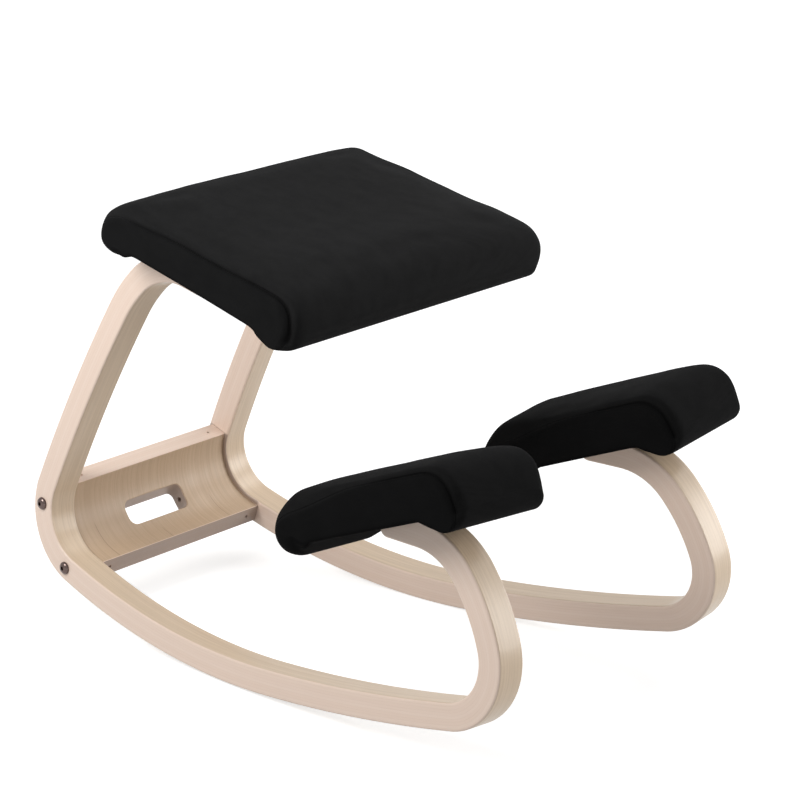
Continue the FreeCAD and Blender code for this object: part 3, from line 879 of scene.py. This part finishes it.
def shape_ends(cushion, grid):
    """Rounds the corners in plan, rolls the rear edges further over and fills the front out."""
    x, y, z = (grid[..., n].copy() for n in range(3))
    thickness = cushion.thickness
    behind = x - (cushion.flat_back - cushion.rear.reach)
    ahead = cushion.flat_front + cushion.front.reach - x
    draw = corner_draw(behind, cushion.rear_round) + corner_draw(ahead, cushion.front_round)
    inside = step_up(cushion.flat_half - np.abs(z), -0.006, 0.011)
    z *= 1 - draw / cushion.half_width

    # Rear edges, rolled over above and below a middle level
    middle = thickness * MIDDLE_SHARE
    edge_gap = cushion.half_width - draw - np.abs(z)
    drop = corner_draw(edge_gap, cushion.rear_roll * cushion.past_back(x, -0.110, 0.030) + LEAST_ROLL)
    rise = corner_draw(edge_gap, cushion.rear_roll * 0.9 * cushion.past_back(x, 0.002, 0.026) + LEAST_ROLL)
    high = middle + (y - middle) * (1 - drop / (thickness - middle))
    low = middle - (middle - y) * (1 - rise / (middle + cushion.rear.droop))
    y = np.where(y > middle, high, low)

    # A fuller front, on top and at the side panels
    near = np.exp(-((x - cushion.flat_front + 0.006) / 0.055) ** 2)
    fill = cushion.front_fill * near * (0.6 + 0.4 * inside) * step_up(y, middle * 0.4, thickness)
    y += fill
    x += fill * 0.7
    level = np.exp(-((y - thickness * 0.42) / 0.020) ** 2)
    z += np.sign(z) * cushion.side_fill * near * level * (1 - inside)
    grid[..., 0], grid[..., 1], grid[..., 2] = x, y, z


def cushion_grid(cushion, rows, count):
    """Places of the whole pad, a closed loop of rows from its rear tip to its front tip."""
    middle = (cushion.flat_front + cushion.flat_back) / 2
    length = cushion.flat_front - cushion.flat_back
    grid = []
    for row in rows:
        share = row.place / cushion.half_width
        crown = cushion.crown * max(0.0, 1 - share ** 4)
        upper, lower = cushion.lines(row.inset, row.inset * UNDER_EDGE, crown, count)
        spots = draw_in(cushion, upper * (1 - row.down) + lower * row.down, row.place)
        places = row.place + share * cushion.widening / 2 * (spots[:, 0] - middle) / length
        grid.append(np.column_stack([spots, places]))
    grid = np.array(grid)
    shape_ends(cushion, grid)
    return grid


def distance_from(grid, lines):
    """Distance of every place of a grid from the nearest of some lines."""
    fine = []
    for held in lines:
        for start, end in zip(held, held[1:]):
            fine += [start + (end - start) * share / 10 for share in range(10)]
        fine.append(held[-1])
    tree = kdtree.KDTree(len(fine))
    for n, spot in enumerate(fine):
        tree.insert(spot, n)
    tree.balance()
    return np.array([tree.find(spot)[2] for spot in grid.reshape(-1, 3)])


def dress_cushion(piece, cushion, grid, rows):
    """Stores the weave's length, girth and seam distance, and the painted shade of the side panels and
    underside with the sewn part.
    """
    girths = np.linalg.norm(np.diff(grid, axis=0, append=grid[:1]), axis=2)
    girth = np.concatenate([np.zeros((1, grid.shape[1])), np.cumsum(girths, axis=0)[:-1]])
    lengths = np.linalg.norm(np.diff(grid, axis=1), axis=2)
    along = np.concatenate([np.zeros((len(rows), 1)), np.cumsum(lengths, axis=1)], axis=1)
    seams = [grid[n] for n, row in enumerate(rows) if row.is_seam and row.down == 0.0]
    set_attribute(piece, "weave", along, girth, distance_from(grid, seams))

    # Painted shade: full on the side panels, and on the underside away from its rolled ends. The sewn part is
    # stored with it.
    edge = cushion.edge_roll * 0.22
    sides = np.array([clamp((abs(row.place) - cushion.half_width + edge) / 0.001) for row in rows])
    below = np.array([row.down == 1.0 for row in rows])
    x = grid[..., 0]
    inward = (1 - cushion.past_front(x, 0.010, 0.034)) * (1 - cushion.past_back(x, 0.024, 0.050))
    painted_cloth_shade = np.maximum(sides[:, None], 1.8 * below[:, None] * inward)
    set_attribute(piece, "painted_cloth_shade", painted_cloth_shade, step_up(x, *cushion.seam_from))


def make_cushion(name, cushion, matrix, cloth, count, across, cap, seed):
    """Sews a pad of count by across places, blows it up by at most the cap and presses its seam in."""
    rows = cushion_rows(cushion, across)
    grid = cushion_grid(cushion, rows, count)
    columns = grid.shape[1]
    world = grid.reshape(-1, 3) @ np.array(matrix.to_3x3()).T + np.array(matrix.translation)
    faces = []
    for r in range(len(rows)):
        here = r * columns
        after = (r + 1) % len(rows) * columns
        faces += [(here + c, after + c, after + c + 1, here + c + 1) for c in range(columns - 1)]

    mesh = bpy.data.meshes.new(name)
    mesh.from_pydata(world.tolist(), [], faces)
    piece = link_object(name, mesh)
    dress_cushion(piece, cushion, grid, rows)
    pins = piece.vertex_groups.new(name="held")
    for r, row in enumerate(rows):
        if row.is_seam or row.down == 1.0:
            pins.add(list(range(r * columns, (r + 1) * columns)), 1.0, "REPLACE")
    join_and_face_out(mesh, 1e-5)
    shade_smooth(mesh)
    puff(piece, cap)
    press_seam(piece, cushion, matrix)
    ripple(piece, matrix, seed)
    subdivide(piece)
    mesh.materials.append(cloth)
    return piece


def smoothed(piece, amounts, rounds):
    """Averages one amount a vertex with its neighbours'."""
    edges = np.array([edge.vertices[:] for edge in piece.data.edges])
    for step in range(rounds):
        total = amounts.copy()
        number = np.ones(len(amounts))
        for a, b in ((0, 1), (1, 0)):
            np.add.at(total, edges[:, a], amounts[edges[:, b]])
            np.add.at(number, edges[:, a], 1)
        amounts = total / number
    return amounts


VALLEY_DEPTH = 0.0010
VALLEY_FRONT = 0.0022
VALLEY_WIDTH = 0.0046


def press_seam(piece, cushion, matrix):
    """Presses the seam's valley into the cover, deeper where it goes round the front."""
    places = coordinates(piece)
    x = ((places - np.array(matrix.translation)) @ np.array(matrix.to_3x3()))[:, 0]
    weave = np.zeros(len(places) * 3)
    piece.data.attributes["weave"].data.foreach_get("vector", weave)
    away = weave.reshape(-1, 3)[:, 2]
    depth = VALLEY_DEPTH + VALLEY_FRONT * cushion.past_front(x, -0.045, 0.010)
    depth *= step_up(x, *cushion.seam_from) * cushion.valley
    move_out(piece, places, -depth * np.exp(-(away / VALLEY_WIDTH) ** 2))


def move_out(piece, places, amounts):
    """Moves vertices from their places along their normals."""
    normals = np.array([vertex.normal for vertex in piece.data.vertices])
    piece.data.vertices.foreach_set("co", (places + normals * amounts[:, None]).ravel())
    piece.data.update()


PUFF_FRAMES = 18
PUFF_CLOTH = {"quality": 6, "mass": 0.3, "tension_stiffness": 30, "compression_stiffness": 30,
              "shear_stiffness": 12, "bending_stiffness": 4, "use_pressure": True,
              "uniform_pressure_force": 4, "vertex_group_mass": "held"}


def puff(piece, cap):
    """Blows the sewn cover up a little between its seams with a cloth simulation."""
    scene = bpy.context.scene
    before = coordinates(piece)
    modifier = piece.modifiers.new("puff", "CLOTH")
    for name, value in PUFF_CLOTH.items():
        setattr(modifier.settings, name, value)
    modifier.settings.effector_weights.gravity = 0
    modifier.collision_settings.use_collision = False
    for number in range(1, PUFF_FRAMES + 1):
        scene.frame_set(number)
    evaluated = piece.evaluated_get(bpy.context.evaluated_depsgraph_get())
    after = np.zeros(len(before) * 3)
    evaluated.data.vertices.foreach_get("co", after)
    normals = np.array([vertex.normal for vertex in piece.data.vertices])
    swell = ((after.reshape(-1, 3) - before) * normals).sum(1)
    swell = smoothed(piece, cap * np.tanh(np.maximum(swell, 0) / cap), 3)
    piece.modifiers.remove(modifier)
    scene.frame_set(1)
    move_out(piece, before, swell)


# The ripple's two waves as (waves a metre, height)
BROAD_RIPPLE = (26, 0.0006)
FINE_RIPPLE = (75, 0.00018)


def ripple(piece, matrix, seed):
    """Slight unevenness of foam under cloth, over the top and sides but not on the landing."""
    up = matrix.to_3x3().col[1]
    piece.data.update()
    normals = [v.normal.copy() for v in piece.data.vertices]
    for vertex, normal in zip(piece.data.vertices, normals):
        height = (vertex.co - matrix.translation).dot(up)
        share = clamp((height - 0.002) / 0.012) if normal.dot(up) < -0.5 else 1.0
        broad = BROAD_RIPPLE[1] * noise.noise(vertex.co * BROAD_RIPPLE[0] + Vector((seed, 0, 0)))
        fine = FINE_RIPPLE[1] * noise.noise(vertex.co * FINE_RIPPLE[0] + Vector((seed, seed, 0)))
        vertex.co += normal * share * (broad + fine)


SEAT = Cushion(
    width=0.401, widening=0.011, thickness=0.0465, crown=0.008, edge_roll=0.0095, flat_length=0.1975,
    flat_front=0.018, front=Roll(0.0470, 0.0076, 0.0185), rear=Roll(0.0572, 0.0130, 0.0250),
    set_back=0.005, foot_set_back=0.013, front_hang=0.004, rear_hang=0.002,
    rear_round=0.012, front_round=0.007, rear_roll=0.024, front_fill=0.0065, side_fill=0.004,
    seam_from=(-0.215, -0.175), valley=1.0)
KNEE = Cushion(
    width=0.132, widening=0.0, thickness=0.0500, crown=0.0062, edge_roll=0.0085, flat_length=0.164,
    flat_front=0.1115, front=Roll(0.0556, 0.0153, 0.0220), rear=Roll(0.0572, 0.0118, 0.0250),
    set_back=0.005, foot_set_back=0.004, front_hang=0.001, rear_hang=0.001,
    rear_round=0.016, front_round=0.007, rear_roll=0.024, front_fill=0.0006, side_fill=0.003,
    seam_from=(0.02, 0.09), valley=0.6)
KNEE_OUTWARD = 0.0044
seat_place = seat_matrix()
knee_place = knee_matrix(KNEE_OUTWARD)
SEAT_BOLTS = (0.034, 0.104)
KNEE_BOLTS = (0.013, 0.037)
ARM_HOLE = 0.0034
POCKET = 0.0065
SEAT_GRIP = 0.024
KNEE_GRIP = 0.009
POCKET_END = 0.07
LOCK_HOLE_DEPTH = 0.012
SLOT_BORE_DEPTH = 0.014
SLOT_BORE_START = 0.002
CUTTER_START = -0.01


def arm_cutters():
    """Bolt holes with their washer pockets, as stepped forms from the landing down."""
    spots = []
    up = seat_place.to_3x3().col[1]
    for back in SEAT_BOLTS:
        world = outer_point(back, BAND_WIDTH / 2)
        spots.append((world - up * (world - seat_place.translation).dot(up), up, SEAT_GRIP))
    for forward in KNEE_BOLTS:
        spots.append((knee_place @ Vector((forward, 0, KNEE_OUTWARD)), knee_place.to_3x3().col[1], KNEE_GRIP))
    made = []
    for world, up, grip in spots:
        profile = [(0, CUTTER_START), (ARM_HOLE, CUTTER_START), (ARM_HOLE, grip), (POCKET, grip),
                   (POCKET, POCKET_END), (0, POCKET_END)]
        made.append(lathe(profile, 32, axis_matrix(world, -up)))
    return made


def panel_bolt_places():
    """Where the panel bolts cross the runner's outer face."""
    first = PANEL_HEAD + math.degrees(BOLT_HEAD_SETBACK / PANEL_MIDDLE)
    last = BEND_END - math.degrees(BOLT_FOOT_SETBACK / PANEL_MIDDLE)
    return [side @ (heel_centre + turned(angle) * PANEL_MIDDLE) for angle in (first, last)]


def panel_bolt(place, name):
    """Domed head with a six-sided socket, and its shank."""
    matrix = axis_matrix(place, -side.to_3x3().col[2])
    steps = 48
    foot = 0.0006
    rings = [(BOLT_SHANK, -BOLT_LENGTH, False), (BOLT_SHANK, -0.0002, False), (BOLT_HEAD * 0.97, 0.0, False),
             (BOLT_HEAD, 0.0004, False)]
    for step in range(1, 9):
        angle = math.radians(step * 9.5)
        height = foot + (BOLT_HEAD_HEIGHT - foot) * math.sin(angle)
        rings.append((BOLT_HEAD * math.cos(angle) ** 0.8, height, False))
    rings = [ring for ring in rings if ring[0] > BOLT_SOCKET * 0.72]
    hex_reach = BOLT_SOCKET / math.sqrt(3)
    rings += [(hex_reach * 1.06, BOLT_HEAD_HEIGHT, True), (hex_reach, BOLT_HEAD_HEIGHT - 0.0002, True),
              (hex_reach, BOLT_HEAD_HEIGHT - 0.0026, True)]
    vertices = []
    for radius, height, is_hex in rings:
        for k in range(steps):
            angle = 360 * k / steps
            reach = radius
            if is_hex:
                reach = radius * math.cos(math.pi / 6) / math.cos(math.radians(angle % 60 - 30))
            vertices.append(matrix @ (turned(angle) * reach + Vector((0, 0, height))))
    faces = ring_faces(len(rings), steps)
    faces.append(tuple(range(steps)))
    faces.append(tuple(range(len(vertices) - steps, len(vertices))))
    return new_object(name, vertices, faces, dark_nickel, 50)


# Cross panel


def panel_surface(surface_inset, angle, across):
    """World place on a surface of the panel, at an angle round the heel and a place across."""
    spot = turned(min(angle, BEND_END)) * (heel.radius - surface_inset)
    spot += turned(BEND_END + 90) * math.radians(max(0.0, angle - BEND_END)) * PANEL_MIDDLE
    return Vector((across, PANEL_CENTRE.y - spot.x, PANEL_CENTRE.z + spot.y))


def slot_angle(rise, reach):
    """Angle round the heel of a height above the slot's middle, on a surface of a reach."""
    return 180 + SLOT_DIP - math.degrees(math.asin((rise + SLOT_LIFT) / reach))


def inner_face_reach(place):
    """Distance across to the runner's inner face, level with a place."""
    inward = side.to_3x3().col[2]
    origin = side @ Vector((0, 0, BAND_WIDTH))
    gap = Vector((0, place.y - origin.y, place.z - origin.z))
    return origin.x - (gap.y * inward.y + gap.z * inward.z) / inward.x


def slot_outline():
    """Rounded slot outline, counter-clockwise, with the side and share that each point belongs to."""
    half_x = SLOT_LENGTH / 2 - SLOT_CORNER
    half_y = SLOT_HEIGHT / 2 - SLOT_CORNER
    centres = [(half_x, half_y), (-half_x, half_y), (-half_x, -half_y), (half_x, -half_y)]
    points = []
    for corner, (cx, cy) in enumerate(centres):
        for step in range(7):
            angle = math.radians(90 * corner + 15 * step)
            points.append((cx + SLOT_CORNER * math.cos(angle), cy + SLOT_CORNER * math.sin(angle),
                           corner, step / 6))
        nx, ny = centres[(corner + 1) % 4]
        angle = math.radians(90 * corner + 90)
        ox, oy = SLOT_CORNER * math.cos(angle), SLOT_CORNER * math.sin(angle)
        pieces = 14 if corner % 2 == 0 else 4
        for step in range(1, pieces):
            share = step / pieces
            points.append((cx + (nx - cx) * share + ox, cy + (ny - cy) * share + oy, corner, 1 + share))
    return points


RIM_SHARES = (0.006, 0.018, 0.04, 0.08, 0.14, 0.22, 0.31, 0.41, 0.51, 0.61, 0.71, 0.80, 0.88, 0.94, 0.975, 1)
EDGE_SHARES = (0.0, 0.3, 0.62, 1.0)


def panel_rim(outline):
    """The panel's rim as (share across, share round the bend), a place for each point of the slot."""
    count = len(outline)
    marks = [n for n, row in enumerate(outline) if row[3] == 0.5]
    corners = [(1, 0), (-1, 0), (-1, 1), (1, 1)]
    rim = []
    for n in range(count):
        before = max([k for k in range(4) if marks[k] <= n], default=3)
        span = (marks[(before + 1) % 4] - marks[before]) % count
        share = ((n - marks[before]) % count) / span
        a, b = corners[before], corners[(before + 1) % 4]
        rim.append((a[0] + (b[0] - a[0]) * share, a[1] + (b[1] - a[1]) * share))
    return rim


def panel_rings(surface_inset, depth_sign):
    """Rings of places from the slot's edge to the panel's rim, on one surface."""
    reach = heel.radius - surface_inset
    outline = slot_outline()
    rim = panel_rim(outline)
    rings = []
    for edge in EDGE_SHARES:
        drop = SLOT_EDGE * (1 - math.sin(math.acos(clamp(1 - edge))))
        ring = []
        for x, y, corner, part in outline:
            grow = 1 + edge * SLOT_EDGE / math.hypot(x, y) * 1.4
            angle = slot_angle(y * grow, reach)
            ring.append(panel_surface(surface_inset + depth_sign * drop, angle, x * grow))
        rings.append(ring)
    for share in RIM_SHARES:
        ring = []
        for (x, y, corner, part), (rim_x, rim_y) in zip(outline, rim):
            grow = 1 + SLOT_EDGE / math.hypot(x, y) * 1.4
            angle = slot_angle(y * grow, reach)
            here = angle + (PANEL_HEAD + (PANEL_FOOT - PANEL_HEAD) * rim_y - angle) * share
            end = rim_x * inner_face_reach(panel_surface(surface_inset, here, 0))
            ring.append(panel_surface(surface_inset, here, x * grow + (end - x * grow) * share))
        rings.append(ring)
    return rings


def dress_panel(piece):
    """Stores the grain, the cut edges, and painted shade on the foot edge and slot walls, for the wood to
    read.
    """
    across, y, z = coordinates(piece).T
    back = y - PANEL_CENTRE.y
    up = z - PANEL_CENTRE.z
    angles = np.degrees(np.arctan2(up, -back)) % 360
    is_over = angles > BEND_END
    run = math.radians(BEND_END + 90)
    out = math.radians(BEND_END)
    over = np.maximum(0, -back * math.cos(run) + up * math.sin(run))
    along = np.radians(np.minimum(angles, BEND_END) - PANEL_HEAD) * PANEL_MIDDLE + np.where(is_over, over, 0)
    radii = np.where(is_over, -back * math.cos(out) + up * math.sin(out), np.hypot(back, up))
    inset = heel.radius - PANEL_INSET - radii
    set_attribute(piece, "grain", along, across, inset)
    in_wall = np.minimum(inset, PANEL_THICKNESS - inset) / 0.0012
    length = np.radians(BEND_END - PANEL_HEAD) * PANEL_MIDDLE + PANEL_FOOT_RUN
    at_edge = np.minimum(along, length - along) / PANEL_EDGE
    wall = np.clip(np.maximum(in_wall, 0), 0, 1)
    share = np.where((at_edge < 1.0) | (in_wall > 0.05), np.maximum(wall, np.clip(1.1 - at_edge, 0, 1)), 0)
    # Painted shade on the foot edge, and somewhat less on the slot walls
    painted_wood_shade = np.where((along > length - 0.003) & (at_edge < 0.5), share, 0)
    painted_wood_shade = np.where((wall > 0.3) & (along > 0.003) & (along < length - 0.003), 0.75 * share, painted_wood_shade)
    set_attribute(piece, "cut_side", share, painted_wood_shade)


def make_panel(cutters):
    back = panel_rings(PANEL_INSET, 1)
    front = panel_rings(PANEL_INSET + PANEL_THICKNESS, -1)
    rings = back[::-1] + front
    vertices = [place for ring in rings for place in ring]
    faces = ring_faces(len(rings), len(back[0]), closed=True)
    piece = new_object("cross_panel_wood", vertices, faces, panel_wood, 30)
    cut(piece, cutters)
    set_material(piece, panel_wood)
    dress_panel(piece)
    return piece


def panel_cutters():
    """Locking holes in the panel's edges and the small bore in the slot's end wall."""
    core = PANEL_INSET + PANEL_THICKNESS / 2
    made = []
    for edge_angle, inner_angle in ((PANEL_HEAD, PANEL_HEAD + 20), (PANEL_FOOT, PANEL_FOOT - 16)):
        for sign in (1, -1):
            mouth = panel_surface(core, edge_angle, 0)
            mouth.x = sign * (inner_face_reach(mouth) - LOCK_HOLE_SETBACK)
            way = (panel_surface(core, inner_angle, mouth.x) - mouth).normalized()
            profile = [(0, CUTTER_START), (LOCK_HOLE, CUTTER_START), (LOCK_HOLE, LOCK_HOLE_DEPTH),
                       (0, LOCK_HOLE_DEPTH)]
            made.append(lathe(profile, 24, axis_matrix(mouth, way)))
    deep = heel.radius - core
    spot = turned(slot_angle(0, deep)) * deep
    place = Vector((SLOT_LENGTH / 2 - SLOT_BORE_START, PANEL_CENTRE.y - spot.x, PANEL_CENTRE.z + spot.y))
    end = SLOT_BORE_START + SLOT_BORE_DEPTH
    profile = [(0, 0), (SLOT_BORE, 0), (SLOT_BORE, end), (0, end)]
    made.append(lathe(profile, 24, axis_matrix(place, Vector((1, 0, 0)))))
    return made


# Build

runner_right = make_runner(seat_place, knee_place, arm_cutters())
runner_left = mirror_copy(runner_right, "runner_left_wood")
for piece, node in ((runner_right, "runner_right"), (runner_left, "runner_left")):
    keep_flats_flat(piece)
    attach(piece, "root")
    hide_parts(node)

panel = make_panel(panel_cutters())
keep_flats_flat(panel)
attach(panel, "root")
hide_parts("cross_panel")

bolts = [panel_bolt(place, "panel_bolt_right_%d" % n) for n, place in enumerate(panel_bolt_places())]
bolts += [mirror_copy(bolt, bolt.name.replace("right", "left")) for bolt in bolts]
for bolt in bolts:
    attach(bolt, "root")
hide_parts("panel_bolts")

seat_cushion = make_cushion("seat_cushion", SEAT, seat_place, cover_cloth,
                            count=96, across=26, cap=0.004, seed=3.0)
knee_right = make_cushion("knee_cushion_right", KNEE, knee_place, pad_cloth,
                          count=84, across=12, cap=0.0025, seed=11.0)
knee_left = mirror_copy(knee_right, "knee_cushion_left")
subdivide(knee_left)
for piece, node in ((seat_cushion, "seat_%s"), (knee_right, "knee_%s_right"), (knee_left, "knee_%s_left")):
    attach(piece, "root")
    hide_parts(*[node % part for part in ("cover", "foam", "base_cloth")])

for name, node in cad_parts.items():
    if not node.hide_render:
        set_material(node, board_wood if "shell" in name else zinc)

# Floor, lights and camera


def floor_material():
    """Pale floor, white where it is seen away from the object, which keeps its shadow."""
    s = Shader("pale_floor")
    place = s.node("ShaderNodeTexCoord", output="Object")
    tone = s.ramp(s.noise(place, 3.0, 2.0), 0.0, 1.0, 0.0, 1.0)
    s.main_inputs(Base_Color=s.mix(tone, (0.57, 0.57, 0.57, 1), (0.59, 0.59, 0.59, 1)), Roughness=0.9,
                  Specular_IOR_Level=0.1, Emission_Color=(1, 1, 1, 1))
    reach = s.node("ShaderNodeVectorMath", {0: place}, output="Value", operation="LENGTH")
    s.main_inputs(Emission_Strength=s.times(s.seen(), s.ramp(reach, 0.9, 3.5, 0.70, 1.0)))
    return s.material


def make_floor():
    size = 14.0
    corners = [(-size, -size, 0), (size, -size, 0), (size, size, 0), (-size, size, 0)]
    floor = new_object("floor", corners, [(0, 1, 2, 3)], floor_material())


def make_world():
    """White where it is seen, and dimmer where it lights the object."""
    world = bpy.data.worlds.new("studio")
    bpy.context.scene.world = world
    world.use_nodes = True
    nodes = Nodes(world.node_tree)
    back = world.node_tree.nodes["Background"]
    back.inputs["Color"].default_value = (1, 1, 1, 1)
    nodes.put(back.inputs["Strength"], nodes.ramp(nodes.seen(), 0.0, 1.0, WORLD_LEVEL, 1.0, False))


def area_light(name, place, target, width, height, power):
    data = bpy.data.lights.new(name, "AREA")
    data.shape = "RECTANGLE"
    data.size = width
    data.size_y = height
    data.energy = power
    lamp = link_object(name, data)
    lamp.location = place
    direction = Vector(target) - Vector(place)
    lamp.rotation_euler = direction.to_track_quat("-Z", "Y").to_euler()


def make_camera():
    data = bpy.data.cameras.new("camera")
    data.lens = CAMERA_LENS
    data.sensor_width = 36
    camera = link_object("camera", data)
    camera.location = CAMERA_PLACE
    camera.rotation_euler = (math.radians(90 - CAMERA_ELEVATION), 0, math.radians(-CAMERA_AZIMUTH))
    bpy.context.scene.camera = camera


make_floor()
make_world()
area_light("key", (-1.2, 0.45, 1.3), (0, 0.1, 0.34), 0.8, 0.8, 18)
area_light("right", (2.0, -0.5, 2.1), (0, 0, 0.1), 1.3, 1.3, 20)
area_light("fill", (2.2, -2.1, 0.80), (0, 0, 0.2), 2.0, 1.3, 48)
make_camera()
bpy.context.scene.view_settings.view_transform = "Standard"
